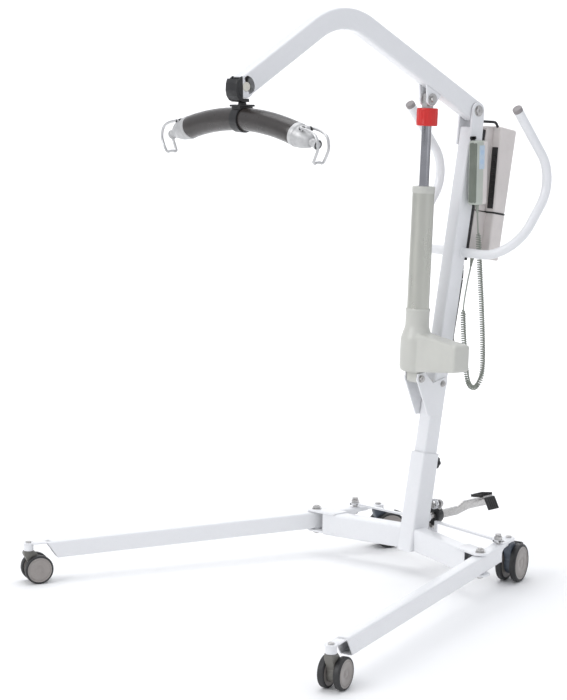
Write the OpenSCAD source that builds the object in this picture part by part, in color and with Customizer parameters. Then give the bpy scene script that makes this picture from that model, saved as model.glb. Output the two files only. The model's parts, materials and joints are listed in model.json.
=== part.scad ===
// Patient lift hoist: spreading-leg base on four twin-wheel castors, leaning mast, bent boom,
// electric linear actuator, hook bar and push handle. Millimetres, +Z up, legs point to -Y.

/* [Base] */
// Height of the leg pivots' carrier beam above the floor
beam_z = 62; // [50:1:80]
// Height of the carrier beam
beam_h = 60; // [40:1:80]
// Depth of the carrier beam, front to back
beam_d = 50; // [40:1:70]
// Distance of each leg pivot from the centre plane
pivot_x = 302.4; // [250:0.1:350]
// Front-to-back position of the leg pivots
pivot_y = 212; // [150:1:260]
// Opening angle of each leg in the drawn, spread position
leg_open = 19.16; // [3:0.01:25]
// Width of a leg tube
leg_w = 32; // [25:1:50]
// Height of a leg tube
leg_h = 45; // [30:1:60]
// Wall thickness of the leg tubes
leg_wall = 2.5; // [1.5:0.1:5]
// Distance from leg pivot to front castor stem
front_reach = 816; // [700:1:950]
// Distance from leg pivot back to rear castor stem
rear_reach = 186; // [150:1:250]
// Distance from leg pivot back to the tie-rod bolt
tie_reach = 116; // [80:1:140]
// Slope of the legs down towards their front ends
leg_slope = 0.886; // [0:0.001:3]

/* [Castors] */
// Radius of the front castor wheels
front_r = 37.5; // [25:0.5:60]
// Radius of the rear castor wheels
rear_r = 50; // [37.5:0.5:75]
// Width of one castor wheel
wheel_w = 17; // [12:0.5:30]
// Overall width of a twin-wheel castor
twin_w = 56; // [44:1:90]
// Trail of the front castors
front_trail = 22; // [10:1:40]
// Trail of the rear castors
rear_trail = 28; // [10:1:50]

/* [Mast and boom] */
// Lean of the mast to the back
mast_lean = 10.2; // [0:0.1:15]
// Width of the mast tube
mast_w = 40; // [30:1:60]
// Depth of the mast tube
mast_d = 50; // [40:1:80]
// Height of the boom tube
boom_h = 54; // [40:1:80]
// Width of the boom tube
boom_w = 36; // [30:1:60]
// Height of the boom pivot above the floor
boom_pivot_z = 1216; // [1000:1:1400]
// Front-to-back position of the boom pivot
boom_pivot_y = 472; // [420:1:520]
// Rise of the boom's rear arm
boom_rise = 28.5; // [0:0.1:45]
// Fall of the boom's front arm
boom_fall = 30.3; // [0:0.1:60]
// Bend radius of the boom's centre line
boom_bend_r = 176; // [100:1:300]

/* [Spreader bar] */
// Front-to-back position of the hanging bar
bar_y = -327; // [-400:1:-250]
// Height of the bar's padded middle
bar_z = 1214; // [1000:1:1400]
// Radius of the bar's padded cover
cover_r = 28; // [20:1:40]
// Radius of the bar's downward curve
bar_curve_r = 690; // [400:5:1500]
// Half of the cover's length
cover_half = 196; // [120:1:240]

/* [Actuator and controls] */
// Radius of the actuator's outer tube
act_tube_r = 29; // [20:0.5:40]
// Radius of the actuator's piston rod
act_rod_r = 15; // [8:0.5:22]
// Width of the battery and control box
box_w = 100; // [70:1:140]
// Radius of the push-handle tube
grip_r = 12.5; // [10:0.5:20]
// Distance of each push handle from the centre plane
grip_x = 191; // [150:1:250]
// Diameter of the coiled handset cord
coil_d = 15; // [10:0.5:20]

/* [Hidden] */
$fn = 64;
gap = 0.4;
twin_in = twin_w / 2 - wheel_w;
mast_y0 = 275.5;
mast_z0 = 60;
act_y = 275;
act_z = 524;
lug_y = 306;
lug_z = 1249;
act_tilt = atan2(lug_y - act_y, lug_z - act_z);
act_len = sqrt(pow(lug_y - act_y, 2) + pow(lug_z - act_z, 2));
// Along the boom: from the rear pivot to the corner, then down to the hanger pivot
corner_y = -9.6;
rear_arm = (boom_pivot_y - corner_y) / cos(boom_rise);
corner_z = boom_pivot_z + rear_arm * sin(boom_rise);
hang_y = -330;
front_arm = (corner_y - hang_y) / cos(boom_fall);
hang_z = corner_z - front_arm * sin(boom_fall);
bend_cut = boom_bend_r * tan((boom_rise + boom_fall) / 2);
bar_turn = asin(cover_half / bar_curve_r);
cam_y = 365;
cam_z = 140;
cam_r = 38;
cam_turn = 25;
rod_a = [264.3, 321.5];

// ---- helpers ----
module box(x0, x1, y0, y1, z0, z1) translate([x0, y0, z0]) cube([x1 - x0, y1 - y0, z1 - z0]);
module rod_x(r, x0, x1, y, z) translate([x0, y, z]) rotate([0, 90, 0]) cylinder(r = r, h = x1 - x0);
module rod_y(r, y0, y1, x, z) translate([x, y0, z]) rotate([-90, 0, 0]) cylinder(r = r, h = y1 - y0);
module rod_z(r, z0, z1, x = 0, y = 0) translate([x, y, z0]) cylinder(r = r, h = z1 - z0);
// Profile in the Y-Z plane, extruded across X from x0 to x1
module plate_x(x0, x1) translate([x0, 0, 0]) rotate([90, 0, 90]) linear_extrude(x1 - x0) children();
// Rounded rectangle
module round_rect(x0, x1, y0, y1, r) {
  translate([x0 + r, y0]) square([x1 - x0 - 2 * r, y1 - y0]);
  translate([x0, y0 + r]) square([x1 - x0, y1 - y0 - 2 * r]);
  for (x = [x0 + r, x1 - r], y = [y0 + r, y1 - r]) translate([x, y]) circle(r);
}
module on_mast() translate([0, mast_y0, mast_z0]) rotate([-mast_lean, 0, 0]) children();
module on_actuator() translate([0, act_y, act_z]) rotate([-act_tilt, 0, 0]) children();
module on_leg(side) mirror([side < 0 ? 1 : 0, 0, 0])
  translate([pivot_x, pivot_y, 0]) rotate([0, 0, leg_open]) children();

// Vectors and routes
function unit(v) = v / norm(v);
function turn_of(u, v) = acos(min(1, max(-1, u * v)));
module stick(a, b, r) {
  d = b - a;
  translate(a) rotate([0, acos(d[2] / norm(d)), atan2(d[1], d[0])]) cylinder(r = r, h = norm(d));
}
// Points of a route with its inner corners rounded to radius bend
function fillet(a, p, c, bend, n) = let (
  u = unit(p - a), v = unit(c - p), t = turn_of(u, v), w = unit(v - u * (u * v)),
  start = p - u * bend * tan(t / 2), mid = start + w * bend
) [for (k = [0 : n]) mid - w * bend * cos(t * k / n) + u * bend * sin(t * k / n)];
function rounded(pts, bend, n) = [pts[0], for (i = [1 : len(pts) - 2])
  each fillet(pts[i - 1], pts[i], pts[i + 1], bend, n), pts[len(pts) - 1]];
// Round tube swept along route points, its section carried on from ring to ring
function heading(pts, i) = unit(pts[min(i + 1, len(pts) - 1)] - pts[max(i - 1, 0)]);
function side_dirs(pts, i, first) = i == 0 ? [unit(first - heading(pts, 0) * (first * heading(pts, 0)))] :
  let (before = side_dirs(pts, i - 1, first), t = heading(pts, i), last = before[i - 1])
  concat(before, [unit(last - t * (last * t))]);
module swept(pts, r, sides, first) {
  n = len(pts);
  dirs = side_dirs(pts, n - 1, first);
  rings = [for (i = [0 : n - 1]) let (t = heading(pts, i), a = dirs[i], b = cross(t, a))
    for (k = [0 : sides - 1]) pts[i] + r * (a * cos(360 * k / sides) + b * sin(360 * k / sides))];
  polyhedron(rings, concat([[for (k = [0 : sides - 1]) k]],
    [for (i = [0 : n - 2], k = [0 : sides - 1]) let (m = (k + 1) % sides)
      [i * sides + k, (i + 1) * sides + k, (i + 1) * sides + m, i * sides + m]],
    [[for (k = [0 : sides - 1]) (n - 1) * sides + sides - 1 - k]]));
}

// ---- base ----
module crossmember() color([0.93, 0.93, 0.95]) difference() {
  union() {
    translate([0, 0, beam_z]) linear_extrude(beam_h)
      polygon([[-262, 196], [0, 250], [262, 196], [262, 196 + beam_d], [0, 250 + beam_d],
        [-262, 196 + beam_d]]);
    for (s = [-1, 1]) for (z = [120, 66]) translate([0, 0, z]) linear_extrude(5) {
      polygon([[s * 225, 203], [s * 300, 187], [s * 304, 237], [s * 225, 255]]);
      translate([s * pivot_x, pivot_y]) circle(25);
    }
  }
  translate([0, 0, beam_z + 3]) linear_extrude(beam_h - 6)
    polygon([[-270, 200.5], [-30, 250], [-30, 291], [-270, 241.5]]);
  translate([0, 0, beam_z + 3]) linear_extrude(beam_h - 6)
    polygon([[270, 200.5], [30, 250], [30, 291], [270, 241.5]]);
  on_mast() box(-25, 25, -29, 29, -60, 120);
  for (s = [-1, 1]) rod_z(8.3, 60, 130, s * pivot_x, pivot_y);
}
module mast_socket() color([0.93, 0.93, 0.95]) difference() {
  union() {
    on_mast() box(-25, 25, -29, 29, -20, 262);
    rod_y(14, 312, 336, 0, cam_z);
  }
  box(-60, 60, 150, 400, 0, 60);
  on_mast() box(-mast_w / 2, mast_w / 2, -mast_d / 2, mast_d / 2, 6, 300);
  on_mast() rod_y(5.2, 20, 40, 0, 236);
  rod_y(8.3, 318, 340, 0, cam_z);
}
module mast_tube() color([0.94, 0.94, 0.96]) on_mast() difference() {
  box(-mast_w / 2, mast_w / 2, -mast_d / 2, mast_d / 2, 6, 1116);
  box(-mast_w / 2 + 3, mast_w / 2 - 3, -mast_d / 2 + 3, mast_d / 2 - 3, 9, 1120);
  rod_y(5.2, 15, 40, 0, 236);
}
module boom_clevis() color([0.94, 0.94, 0.96]) difference() {
  for (s = [-1, 1]) plate_x(s > 0 ? 20 : -25, s > 0 ? 25 : -20) {
    translate([boom_pivot_y, boom_pivot_z]) circle(22);
    polygon([[441, 1128], [486, 1120], [495, 1215], [450, 1215]]);
  }
  rod_x(8.3, -40, 40, boom_pivot_y, boom_pivot_z);
}
module actuator_bracket() color([0.93, 0.93, 0.95]) difference() {
  for (s = [-1, 1]) plate_x(s > 0 ? 20 : -25, s > 0 ? 25 : -20) {
    polygon([[304, 420], [345, 418], [376, 506], [368, 518], [320, 508], [288, 540], [262, 538], [262, 518]]);
    translate([act_y, act_z]) circle(15);
  }
  rod_x(6.3, -40, 40, act_y, act_z);
}
module mast_knob() color([0.06, 0.06, 0.06]) on_mast() {
  rod_y(4.8, 25.5, 40, 0, 236);
  rod_y(9, 30, 38, 0, 236);
  rod_y(17, 38, 50, 0, 236);
}
module frame_bolts() color([0.7, 0.7, 0.72]) {
  for (s = [-1, 1]) {
    rod_z(8, 66, 125, s * pivot_x, pivot_y);
    rod_z(12, 125, 131, s * pivot_x, pivot_y);
    rod_z(11, 58, 66, s * pivot_x, pivot_y);
  }
  rod_x(8, -25, 25, boom_pivot_y, boom_pivot_z);
  for (s = [0, 1]) mirror([s, 0, 0]) rod_x(12, 25, 33, boom_pivot_y, boom_pivot_z);
  rod_x(6, -25, 25, act_y, act_z);
  for (s = [0, 1]) mirror([s, 0, 0]) {
    rod_x(10, 25, 32, act_y, act_z);
    rod_x(8, 25, 31, 356, 502);
  }
}
module push_handle() color([0.93, 0.93, 0.95]) for (s = [-1, 1])
  swept(rounded([[s * 20, 431, 845], [s * grip_x, 431, 845], [s * grip_x, 590, 1043],
    [s * grip_x, 440, 1222]], 62, 8), grip_r, 20, [0, 1, 0.01]);
module handle_caps() color([0.57, 0.56, 0.56]) for (s = [-1, 1])
  stick([s * grip_x, 440, 1222], [s * grip_x, 432, 1231.5], 14);

// ---- legs, tie rods and pedal ----
// side +1 is the leg on +X; its mirror image is the other leg
module leg(side) color([0.93, 0.93, 0.95]) on_leg(side) difference() {
  union() {
    rotate([leg_slope, 0, 0]) difference() {
      plate_x(-leg_w / 2, leg_w / 2) polygon([[-769, 118.5], [-740, 118.5 - leg_h],
        [108, 118.5 - leg_h], [109, 98], [113, 103], [122, 107], [150, 108.5], [150, 118.5]]);
      box(-leg_w / 2 + leg_wall, leg_w / 2 - leg_wall, -800, 104, 118.5 - leg_h + leg_wall, 118.5 - leg_wall);
    }
    rotate([leg_slope, 0, 0]) box(-13, 13, -front_reach, -760, 114.5, 118.5);
    rod_z(13, 86, 107, 0, -front_reach);
    rod_z(15, 103, 107, 0, -front_reach);
    rotate([leg_slope, 0, 0]) box(-16, 16, 146, rear_reach, 112, 118.5);
    rod_z(16, 112.8, 122, 0, rear_reach);
    rod_z(14, 71.4, 119.6);
  }
  rod_z(8.4, 60, 130);
  rod_z(6.2, 80, 130, 0, -front_reach);
  rod_z(6.2, 80, 130, 0, rear_reach);
  rod_z(6.2, 60, 130, 0, tie_reach);
  rod_z(9.4, 60, 106.2, 0, tie_reach);
}
module leg_left() leg(1);
module leg_right() leg(-1);
module leg_bolts(side) color([0.7, 0.7, 0.72]) on_leg(side) {
  rod_z(9, 107, 110.5, 0, -front_reach);
  rod_z(9, 122, 126.5, 0, rear_reach);
  rod_z(6, 102, 141, 0, tie_reach);
  rod_z(9, 101.5, 106, 0, tie_reach);
  rod_z(10, 141, 147, 0, tie_reach);
}
module leg_bolts_left() leg_bolts(1);
module leg_bolts_right() leg_bolts(-1);
// Flat tie rod from a leg's bolt to the cam; eye is larger than the pin because this joint is open
module tie_rod(side, zc) color([0.9, 0.9, 0.92]) mirror([side < 0 ? 1 : 0, 0, 0]) difference() {
  x1 = -cam_r * sin(cam_turn);
  len = rod_a[0] - x1;
  yaw = atan2(cam_y - 21 - rod_a[1], x1 - rod_a[0]);
  union() {
    rod_z(15, 127, 132, rod_a[0], rod_a[1]);
    translate([rod_a[0], rod_a[1], 0]) rotate([0, 0, yaw]) {
      box(10, len - 40, -5, 5, 127, 132);
      box(len - 44, len - 38, -3, 3, min(127, zc - 5), max(132, zc + 5));
      box(len - 44, len - 8, -3, 3, zc - 6, zc + 6);
      rod_y(14, -3, 3, len, zc);
    }
  }
  rod_z(6.3, 120, 140, rod_a[0], rod_a[1]);
  translate([rod_a[0], rod_a[1], 0]) rotate([0, 0, yaw]) rod_y(8.5, -10, 10, len, zc);
}
module tie_rod_left() tie_rod(1, cam_z - cam_r * cos(cam_turn) - 1.8);
module tie_rod_right() tie_rod(-1, cam_z + cam_r * cos(cam_turn) + 1.8);
// Cam, pedal arm and rocker turn together about a fore-and-aft axis
module on_cam() translate([0, 0, cam_z]) rotate([0, cam_turn, 0]) children();
module pedal_cam() color([0.72, 0.72, 0.74]) on_cam() {
  rod_y(8, 323, cam_y + 14, 0, 0);
  rod_y(16, cam_y - 8, cam_y + 6, 0, 0);
  box(-11, 11, cam_y - 8, cam_y - 1, -cam_r, cam_r);
  for (s = [-1, 1]) rod_y(12, cam_y - 8, cam_y - 1, 0, s * cam_r);
  for (s = [-1, 1]) {
    rod_y(4.5, cam_y - 28, cam_y - 8, 0, s * cam_r);
    rod_y(8, cam_y - 32, cam_y - 28, 0, s * cam_r);
    rod_y(8, cam_y - 1, cam_y + 5, 0, s * cam_r);
  }
}
module wings() for (s = [0, 1]) mirror([s, 0, 0]) translate([0, 0, 26]) rotate([0, 34.5, 0]) children();
module pedal_arm() color([0.75, 0.75, 0.77]) on_cam() {
  box(-4, 4, cam_y + 14, 530, -12, 8);
  box(-4, 4, 490, 598, -6, 26);
  wings() box(0, 54, 546, 598, 0, 3);
}
module pedal_pads() color([0.06, 0.06, 0.06]) on_cam() wings() box(3, 57, 542, 601, 3, 8);

// ---- castors ----
module at_castor(side, rear) on_leg(side) translate([0, rear ? rear_reach : -front_reach, 0]) children();
module castor_body(side, rear) color(rear ? [0.3, 0.33, 0.37] : [0.43, 0.42, 0.4])
  at_castor(side, rear) {
  r = rear ? rear_r : front_r;
  t = rear ? rear_trail : front_trail;
  top = rear ? 112.4 : 85.6;
  rod_z(5.9, top - 2, rear ? 121.6 : 106.6);
  plate_x(-twin_in + gap, twin_in - gap) {
    translate([t, r]) circle(r * 0.62);
    polygon([[-13, top], [-13, top - 12], [t - r * 0.6, r], [t + r * 0.6, r], [t + r * 0.4, r * 1.5],
      [13, top]]);
  }
  rod_x(4, -twin_w / 2 + 4, twin_w / 2 - 4, t, r);
  if (rear) {
    for (s = [0, 1]) mirror([s, 0, 0]) plate_x(6.4, twin_in - gap)
      polygon([[20, 60], [20, 95], [50, 96], [56, 90], [52, 80]]);
    rod_x(2.3, -8, 8, 50, 90);
  }
}
module castor_front_left() castor_body(1, false);
module castor_front_right() castor_body(-1, false);
module castor_rear_left() castor_body(1, true);
module castor_rear_right() castor_body(-1, true);
// out is +1 for the wheel on the outer side of the leg
module wheel(side, rear, out) color([0.12, 0.12, 0.12])
  at_castor(side, rear) mirror([out < 0 ? 1 : 0, 0, 0]) {
  r = rear ? rear_r : front_r;
  t = rear ? rear_trail : front_trail;
  translate([twin_in, t, r]) rotate([0, 90, 0]) rotate_extrude() difference() {
    union() {
      round_rect(r * 0.6, r, 0, wheel_w, 4.5);
      translate([0, 2]) square([r * 0.8, wheel_w - 2.5]);
    }
    translate([0, -1]) square([4.1, wheel_w - 2.5]);
  }
}
module wheel_front_left_out() wheel(1, false, 1);
module wheel_front_left_in() wheel(1, false, -1);
module wheel_front_right_out() wheel(-1, false, 1);
module wheel_front_right_in() wheel(-1, false, -1);
module wheel_rear_left_out() wheel(1, true, 1);
module wheel_rear_left_in() wheel(1, true, -1);
module wheel_rear_right_out() wheel(-1, true, 1);
module wheel_rear_right_in() wheel(-1, true, -1);
module brake(side) color([0.08, 0.08, 0.08]) at_castor(side, true) difference() {
  union() {
    rod_x(5, -6, 6, 50, 90);
    plate_x(-6, 6) polygon([[50, 85], [58, 90], [58, 97], [50, 95]]);
    plate_x(-13, 13) polygon([[56, 96], [58, 99], [71, 94], [74, 87], [62, 90.5]]);
  }
  rod_x(2.6, -11, 11, 50, 90);
}
module brake_left() brake(1);
module brake_right() brake(-1);

// ---- actuator ----
module actuator_housing() color([0.73, 0.74, 0.7]) on_actuator() difference() {
  union() {
    rotate([90, 0, 0]) translate([0, 0, -27]) linear_extrude(52)
      polygon([[0, 18], [24, 18], [166, 34], [166, 106], [20, 122], [0, 122]]);
    translate([0, 0, 18]) cylinder(r = 34, h = 104);
    translate([0, 0, 122]) cylinder(r1 = 34, r2 = 31.5, h = 58);
    rod_x(13, -19.5, 19.5, 0, 0);
    box(-19.5, 19.5, -13, 13, 0, 20);
    rod_y(8, 26, 42, 60, 60);
  }
  rod_x(6.3, -30, 30, 0, 0);
  rod_y(5.5, 30, 60, 60, 60);
  translate([0, 0, 90]) cylinder(r = act_tube_r, h = 200);
}
module actuator_tube() color([0.64, 0.64, 0.6]) on_actuator() difference() {
  translate([0, 0, 90]) cylinder(r = act_tube_r, h = 398);
  translate([0, 0, 100]) cylinder(r = act_tube_r - 3, h = 400);
}
module actuator_tube_cap() color([0.75, 0.76, 0.72]) on_actuator() difference() {
  translate([0, 0, 488]) cylinder(r = act_tube_r + 1, h = 14);
  translate([0, 0, 480]) cylinder(r = act_rod_r + gap, h = 30);
}
module piston_rod() color([0.8, 0.8, 0.82]) on_actuator()
  translate([0, 0, 225]) cylinder(r = act_rod_r, h = 437);
// Flat rod end with its own cross pin, loose in the boom's lug because this joint is open
module rod_end() color([0.6, 0.6, 0.62]) on_actuator() {
  translate([0, 0, 662]) cylinder(r = act_rod_r, h = 38);
  box(-9, 9, -11.9, 11.9, 698, act_len + 14);
  rod_x(4.5, -20, 20, 0, act_len);
  for (s = [0, 1]) mirror([s, 0, 0]) rod_x(15, 15.5, 17.5, 0, act_len);
  for (s = [0, 1]) mirror([s, 0, 0]) rod_x(8, 17.5, 23, 0, act_len);
}
module release_collar() color([0.8, 0.1, 0.1]) on_actuator() difference() {
  translate([0, 0, 655]) cylinder(r = 29.5, h = 49);
  translate([0, 0, 650]) cylinder(r = act_rod_r + gap, h = 60);
}

// ---- boom and hook bar ----
module boom_shape(w, h, tail) {
  translate([0, boom_pivot_y, boom_pivot_z]) rotate([-boom_rise, 0, 0])
    box(-w / 2, w / 2, -rear_arm + bend_cut, tail, -h / 2, h / 2);
  translate([0, hang_y, hang_z]) rotate([boom_fall, 0, 0])
    box(-w / 2, w / 2, 0, front_arm - bend_cut, -h / 2, h / 2);
  translate([0, corner_y + bend_cut * cos(boom_rise) - boom_bend_r * sin(boom_rise),
    corner_z - bend_cut * sin(boom_rise) - boom_bend_r * cos(boom_rise)])
    rotate([90, 0, 90]) rotate([0, 0, 90 - boom_rise])
    rotate_extrude(angle = boom_rise + boom_fall) translate([boom_bend_r - h / 2, -w / 2]) square([h, w]);
}
module boom() color([0.94, 0.94, 0.96]) difference() {
  union() {
    difference() {
      boom_shape(boom_w, boom_h, 0);
      boom_shape(boom_w - 5, boom_h - 5, -40);
    }
    rod_x(boom_h / 2, -boom_w / 2, boom_w / 2, boom_pivot_y, boom_pivot_z);
    for (s = [0, 1]) mirror([s, 0, 0]) rod_x(boom_h / 2, boom_w / 2 - 2.5, boom_w / 2, hang_y, hang_z);
  }
  rod_x(8.3, -30, 30, boom_pivot_y, boom_pivot_z);
  rod_x(6, -30, 30, hang_y, hang_z);
}
module boom_lug() color([0.93, 0.93, 0.95]) difference() {
  for (s = [-1, 1]) plate_x(s > 0 ? 10 : -15, s > 0 ? 15 : -10) difference() {
    union() {
      translate([lug_y, lug_z]) circle(18);
      polygon([[lug_y - 16, lug_z - 8], [lug_y + 14, lug_z - 12], [lug_y + 60, lug_z + 40],
        [lug_y - 22, lug_z + 60]]);
    }
    translate([boom_pivot_y, boom_pivot_z]) rotate(-boom_rise)
      translate([-400, -boom_h / 2]) square([500, boom_h + 60]);
    translate([lug_y, lug_z]) circle(13);
  }
}
module boom_plugs() color([0.88, 0.87, 0.82]) for (s = [0, 1]) mirror([s, 0, 0])
  rod_x(11, boom_w / 2, boom_w / 2 + 2.5, hang_y, hang_z);
// Dark head that swings on the boom's end; its cross pin runs in the boom's cheeks
module hanger_yoke() color([0.07, 0.07, 0.07]) {
  difference() {
    plate_x(-20, 20) difference() {
      translate([hang_y - 58, 1254]) square([72, 58]);
      translate([hang_y, hang_z]) circle(boom_h / 2 + 1.5);
      polygon([[hang_y, hang_z], [hang_y - 164, hang_z + 115], [hang_y - 164, hang_z + 200],
        [hang_y + 200, hang_z + 200], [hang_y + 200, hang_z - 200], [hang_y + 52, hang_z - 193]]);
    }
    rod_z(6.3, 1240, 1262, 0, bar_y);
  }
  plate_x(-13, 13) {
    translate([hang_y, hang_z]) circle(23);
    polygon([[hang_y - 5, hang_z - 22], [hang_y - 22, hang_z - 5], [hang_y - 40, hang_z - 10],
      [hang_y - 22, hang_z - 32]]);
  }
  rod_x(5.7, -boom_w / 2 + 0.3, boom_w / 2 - 0.3, hang_y, hang_z);
}
module along_bar() translate([0, bar_y, bar_z - bar_curve_r]) rotate([90, 0, 0]) children();
module bar_cover() color([0.33, 0.3, 0.29]) along_bar() rotate([0, 0, 90 - bar_turn])
  rotate_extrude(angle = 2 * bar_turn, $fn = 720) translate([bar_curve_r, 0]) circle(cover_r, $fn = 96);
module bar_saddle() color([0.06, 0.06, 0.06]) {
  difference() {
    union() {
      rod_x(cover_r + 4, -13, 13, bar_y, bar_z - 0.1);
      box(-19, 19, bar_y - 24, bar_y + 24, 1243, 1248);
    }
    along_bar() rotate([0, 0, 80]) rotate_extrude(angle = 20, $fn = 720)
      translate([bar_curve_r, 0]) circle(cover_r, $fn = 96);
  }
  rod_z(6, 1248, 1261, 0, bar_y);
  rod_z(10, 1248, 1253.6, 0, bar_y);
}
module bar_end(s) mirror([s < 0 ? 1 : 0, 0, 0]) translate([0, bar_y, bar_z - bar_curve_r])
  rotate([0, bar_turn, 0]) translate([0, 0, bar_curve_r]) children();
module bar_castings() color([0.66, 0.66, 0.67]) for (s = [-1, 1]) bar_end(s) {
  rod_x(24, 0, 4, 0, 0);
  translate([4, 0, 0]) rotate([0, 90, 0]) cylinder(r1 = 22, r2 = 14, h = 36);
  rod_x(9, 40, 66, 0, 0);
  rod_x(12, 66, 72, 0, 0);
  box(14, 30, -6, 6, 8, 27);
  rod_y(2.5, -20, 20, 22, 22);
}
// Sprung wire bail that keeps a sling strap on the end stud
module bail(s) color([0.62, 0.62, 0.62]) bar_end(s) {
  for (k = [0, 1]) mirror([0, k, 0]) difference() {
    union() {
      rotate([90, 0, 0]) translate([0, 0, -20]) linear_extrude(6)
        polygon([[22, 26], [54, 30], [80, 23], [95, -1], [93, -25], [86, -42],
          [78, -40], [87, -24], [89, -2], [76, 18], [54, 24], [22, 18]]);
      rod_y(5.5, 12, 20.5, 22, 22);
    }
    rod_y(2.9, 10, 22, 22, 22);
  }
  rod_y(3, -14, 14, 83, -38);
}
module hook_gate_left() bail(1);
module hook_gate_right() bail(-1);

// ---- controls ----
module box_carrier() color([0.15, 0.15, 0.15]) on_mast()
  box(-mast_w / 2 + gap, mast_w / 2 - gap, mast_d / 2, 33, 780, 1130);
module control_box() color([0.77, 0.76, 0.74]) {
  on_mast() rotate([90, 0, 90]) translate([0, 0, -box_w / 2]) linear_extrude(box_w)
    polygon([[80, 791], [123, 791], [123, 915], [77, 915]]);
  on_mast() box(-22, 22, 33, 78, 791, 915);
}
module battery() color([0.79, 0.76, 0.74]) on_mast() {
  rotate([90, 0, 90]) translate([0, 0, -box_w / 2]) linear_extrude(box_w)
    polygon([[77, 916], [123, 916], [123, 1141], [58, 1143]]);
  box(-22, 22, 33.4, 70, 916, 1138);
}
module battery_handle() color([0.05, 0.05, 0.05]) on_mast() {
  box(-40, 40, 40, 58, 1150, 1156);
  for (s = [-1, 1]) box(s * 35 - 4, s * 35 + 4, 58, 66, 1143, 1156);
  box(-39, 39, 50, 60, 1143.5, 1150);
}
module handset_hook() color([0.1, 0.1, 0.1]) {
  box(25, 29, 444, 458, 1120, 1150);
  box(25, 29, 440, 462, 1143, 1150);
}
module handset() color([0.7, 0.71, 0.66]) difference() {
  box(29.4, 58, 431, 475, 972, 1140);
  for (z = [1085, 1110]) rod_x(7.4, 54, 60, 453, z);
}
module handset_button_up() color([0.5, 0.62, 0.75]) rod_x(7, 56, 60, 453, 1110);
module handset_button_down() color([0.5, 0.62, 0.75]) rod_x(7, 56, 60, 453, 1085);
// Coiled cord as one round tube of the coil's outer size
cord_pts = [[42, 456, 971], [42, 462, 900], [42, 474, 780], [42, 484, 680], [42, 492, 560],
  [42, 486, 505], [42, 462, 482], [42, 436, 500], [42, 424, 560], [42, 414, 640], [42, 412, 700],
  [36, 430, 760], [14, 466, 800], [12, 474, 826]];
module hand_cord() color([0.55, 0.56, 0.53]) swept(cord_pts, coil_d / 2, 12, [1, 0.01, 0]);
module actuator_cable() color([0.12, 0.12, 0.12]) {
  rod_z(5, 770, 829, -10, 460);
  swept(rounded([[-10, 460, 768], [-10, 428, 610], [36, 402, 588], [60, 340, 581.6], [60, 319, 581.6]],
    14, 4), 3, 12, [1, 0.01, 0.02]);
}

crossmember();
mast_socket();
mast_tube();
boom_clevis();
actuator_bracket();
mast_knob();
push_handle();
handle_caps();
box_carrier();
control_box();
battery();
battery_handle();
handset_hook();
handset();
handset_button_up();
handset_button_down();
hand_cord();
actuator_cable();
frame_bolts();
leg_left();
leg_right();
leg_bolts_left();
leg_bolts_right();
tie_rod_left();
tie_rod_right();
pedal_cam();
pedal_arm();
pedal_pads();
actuator_housing();
actuator_tube();
actuator_tube_cap();
piston_rod();
rod_end();
release_collar();
boom();
boom_lug();
boom_plugs();
hanger_yoke();
bar_saddle();
bar_cover();
bar_castings();
hook_gate_left();
hook_gate_right();
castor_front_left();
castor_front_right();
castor_rear_left();
castor_rear_right();
wheel_front_left_out();
wheel_front_left_in();
wheel_front_right_out();
wheel_front_right_in();
wheel_rear_left_out();
wheel_rear_left_in();
wheel_rear_right_out();
wheel_rear_right_in();
brake_left();
brake_right();
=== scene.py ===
"""Looks for the patient lift hoist.

Pieces are drawn in millimetres in a local frame and set in place in metres.
"""
import json
import math

import bmesh
import bpy
from mathutils import Matrix, Vector


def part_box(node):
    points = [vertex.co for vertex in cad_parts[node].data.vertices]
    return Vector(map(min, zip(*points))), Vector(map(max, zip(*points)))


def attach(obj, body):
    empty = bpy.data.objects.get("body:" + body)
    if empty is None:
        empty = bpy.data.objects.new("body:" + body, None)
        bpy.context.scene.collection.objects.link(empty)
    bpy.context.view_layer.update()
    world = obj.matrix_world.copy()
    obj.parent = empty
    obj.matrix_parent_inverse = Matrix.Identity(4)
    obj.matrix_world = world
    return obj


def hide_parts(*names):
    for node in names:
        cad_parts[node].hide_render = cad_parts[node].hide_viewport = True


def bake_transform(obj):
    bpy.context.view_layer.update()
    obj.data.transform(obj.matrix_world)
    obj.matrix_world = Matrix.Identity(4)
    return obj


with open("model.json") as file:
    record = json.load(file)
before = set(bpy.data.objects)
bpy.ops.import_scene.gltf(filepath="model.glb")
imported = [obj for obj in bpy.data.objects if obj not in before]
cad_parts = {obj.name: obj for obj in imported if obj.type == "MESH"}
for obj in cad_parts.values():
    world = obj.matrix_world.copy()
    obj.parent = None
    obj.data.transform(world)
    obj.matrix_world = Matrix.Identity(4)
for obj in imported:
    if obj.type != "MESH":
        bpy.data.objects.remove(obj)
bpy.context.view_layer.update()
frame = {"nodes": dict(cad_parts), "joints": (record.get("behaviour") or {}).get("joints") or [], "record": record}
scene = bpy.context.scene
joints = {j["name"]: j for j in frame["joints"]}
nodes = frame["nodes"]
slot_of = {p["node"]: p["material_slot"] for p in frame["record"]["subparts"]}

MM = 0.001
HERE = Matrix.Identity(4)
MIRROR = Matrix.Diagonal((-1, 1, 1, 1))


# ---- camera, light and floor ----
CAMERA_AT = (3.6178, -3.4617, 1.4350)
CAMERA_HEADING = math.radians(47.87)
CAMERA_PITCH = math.radians(9.197)
CAMERA_ROLL = math.radians(0.437)
CAMERA_LENS = 103.28


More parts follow.
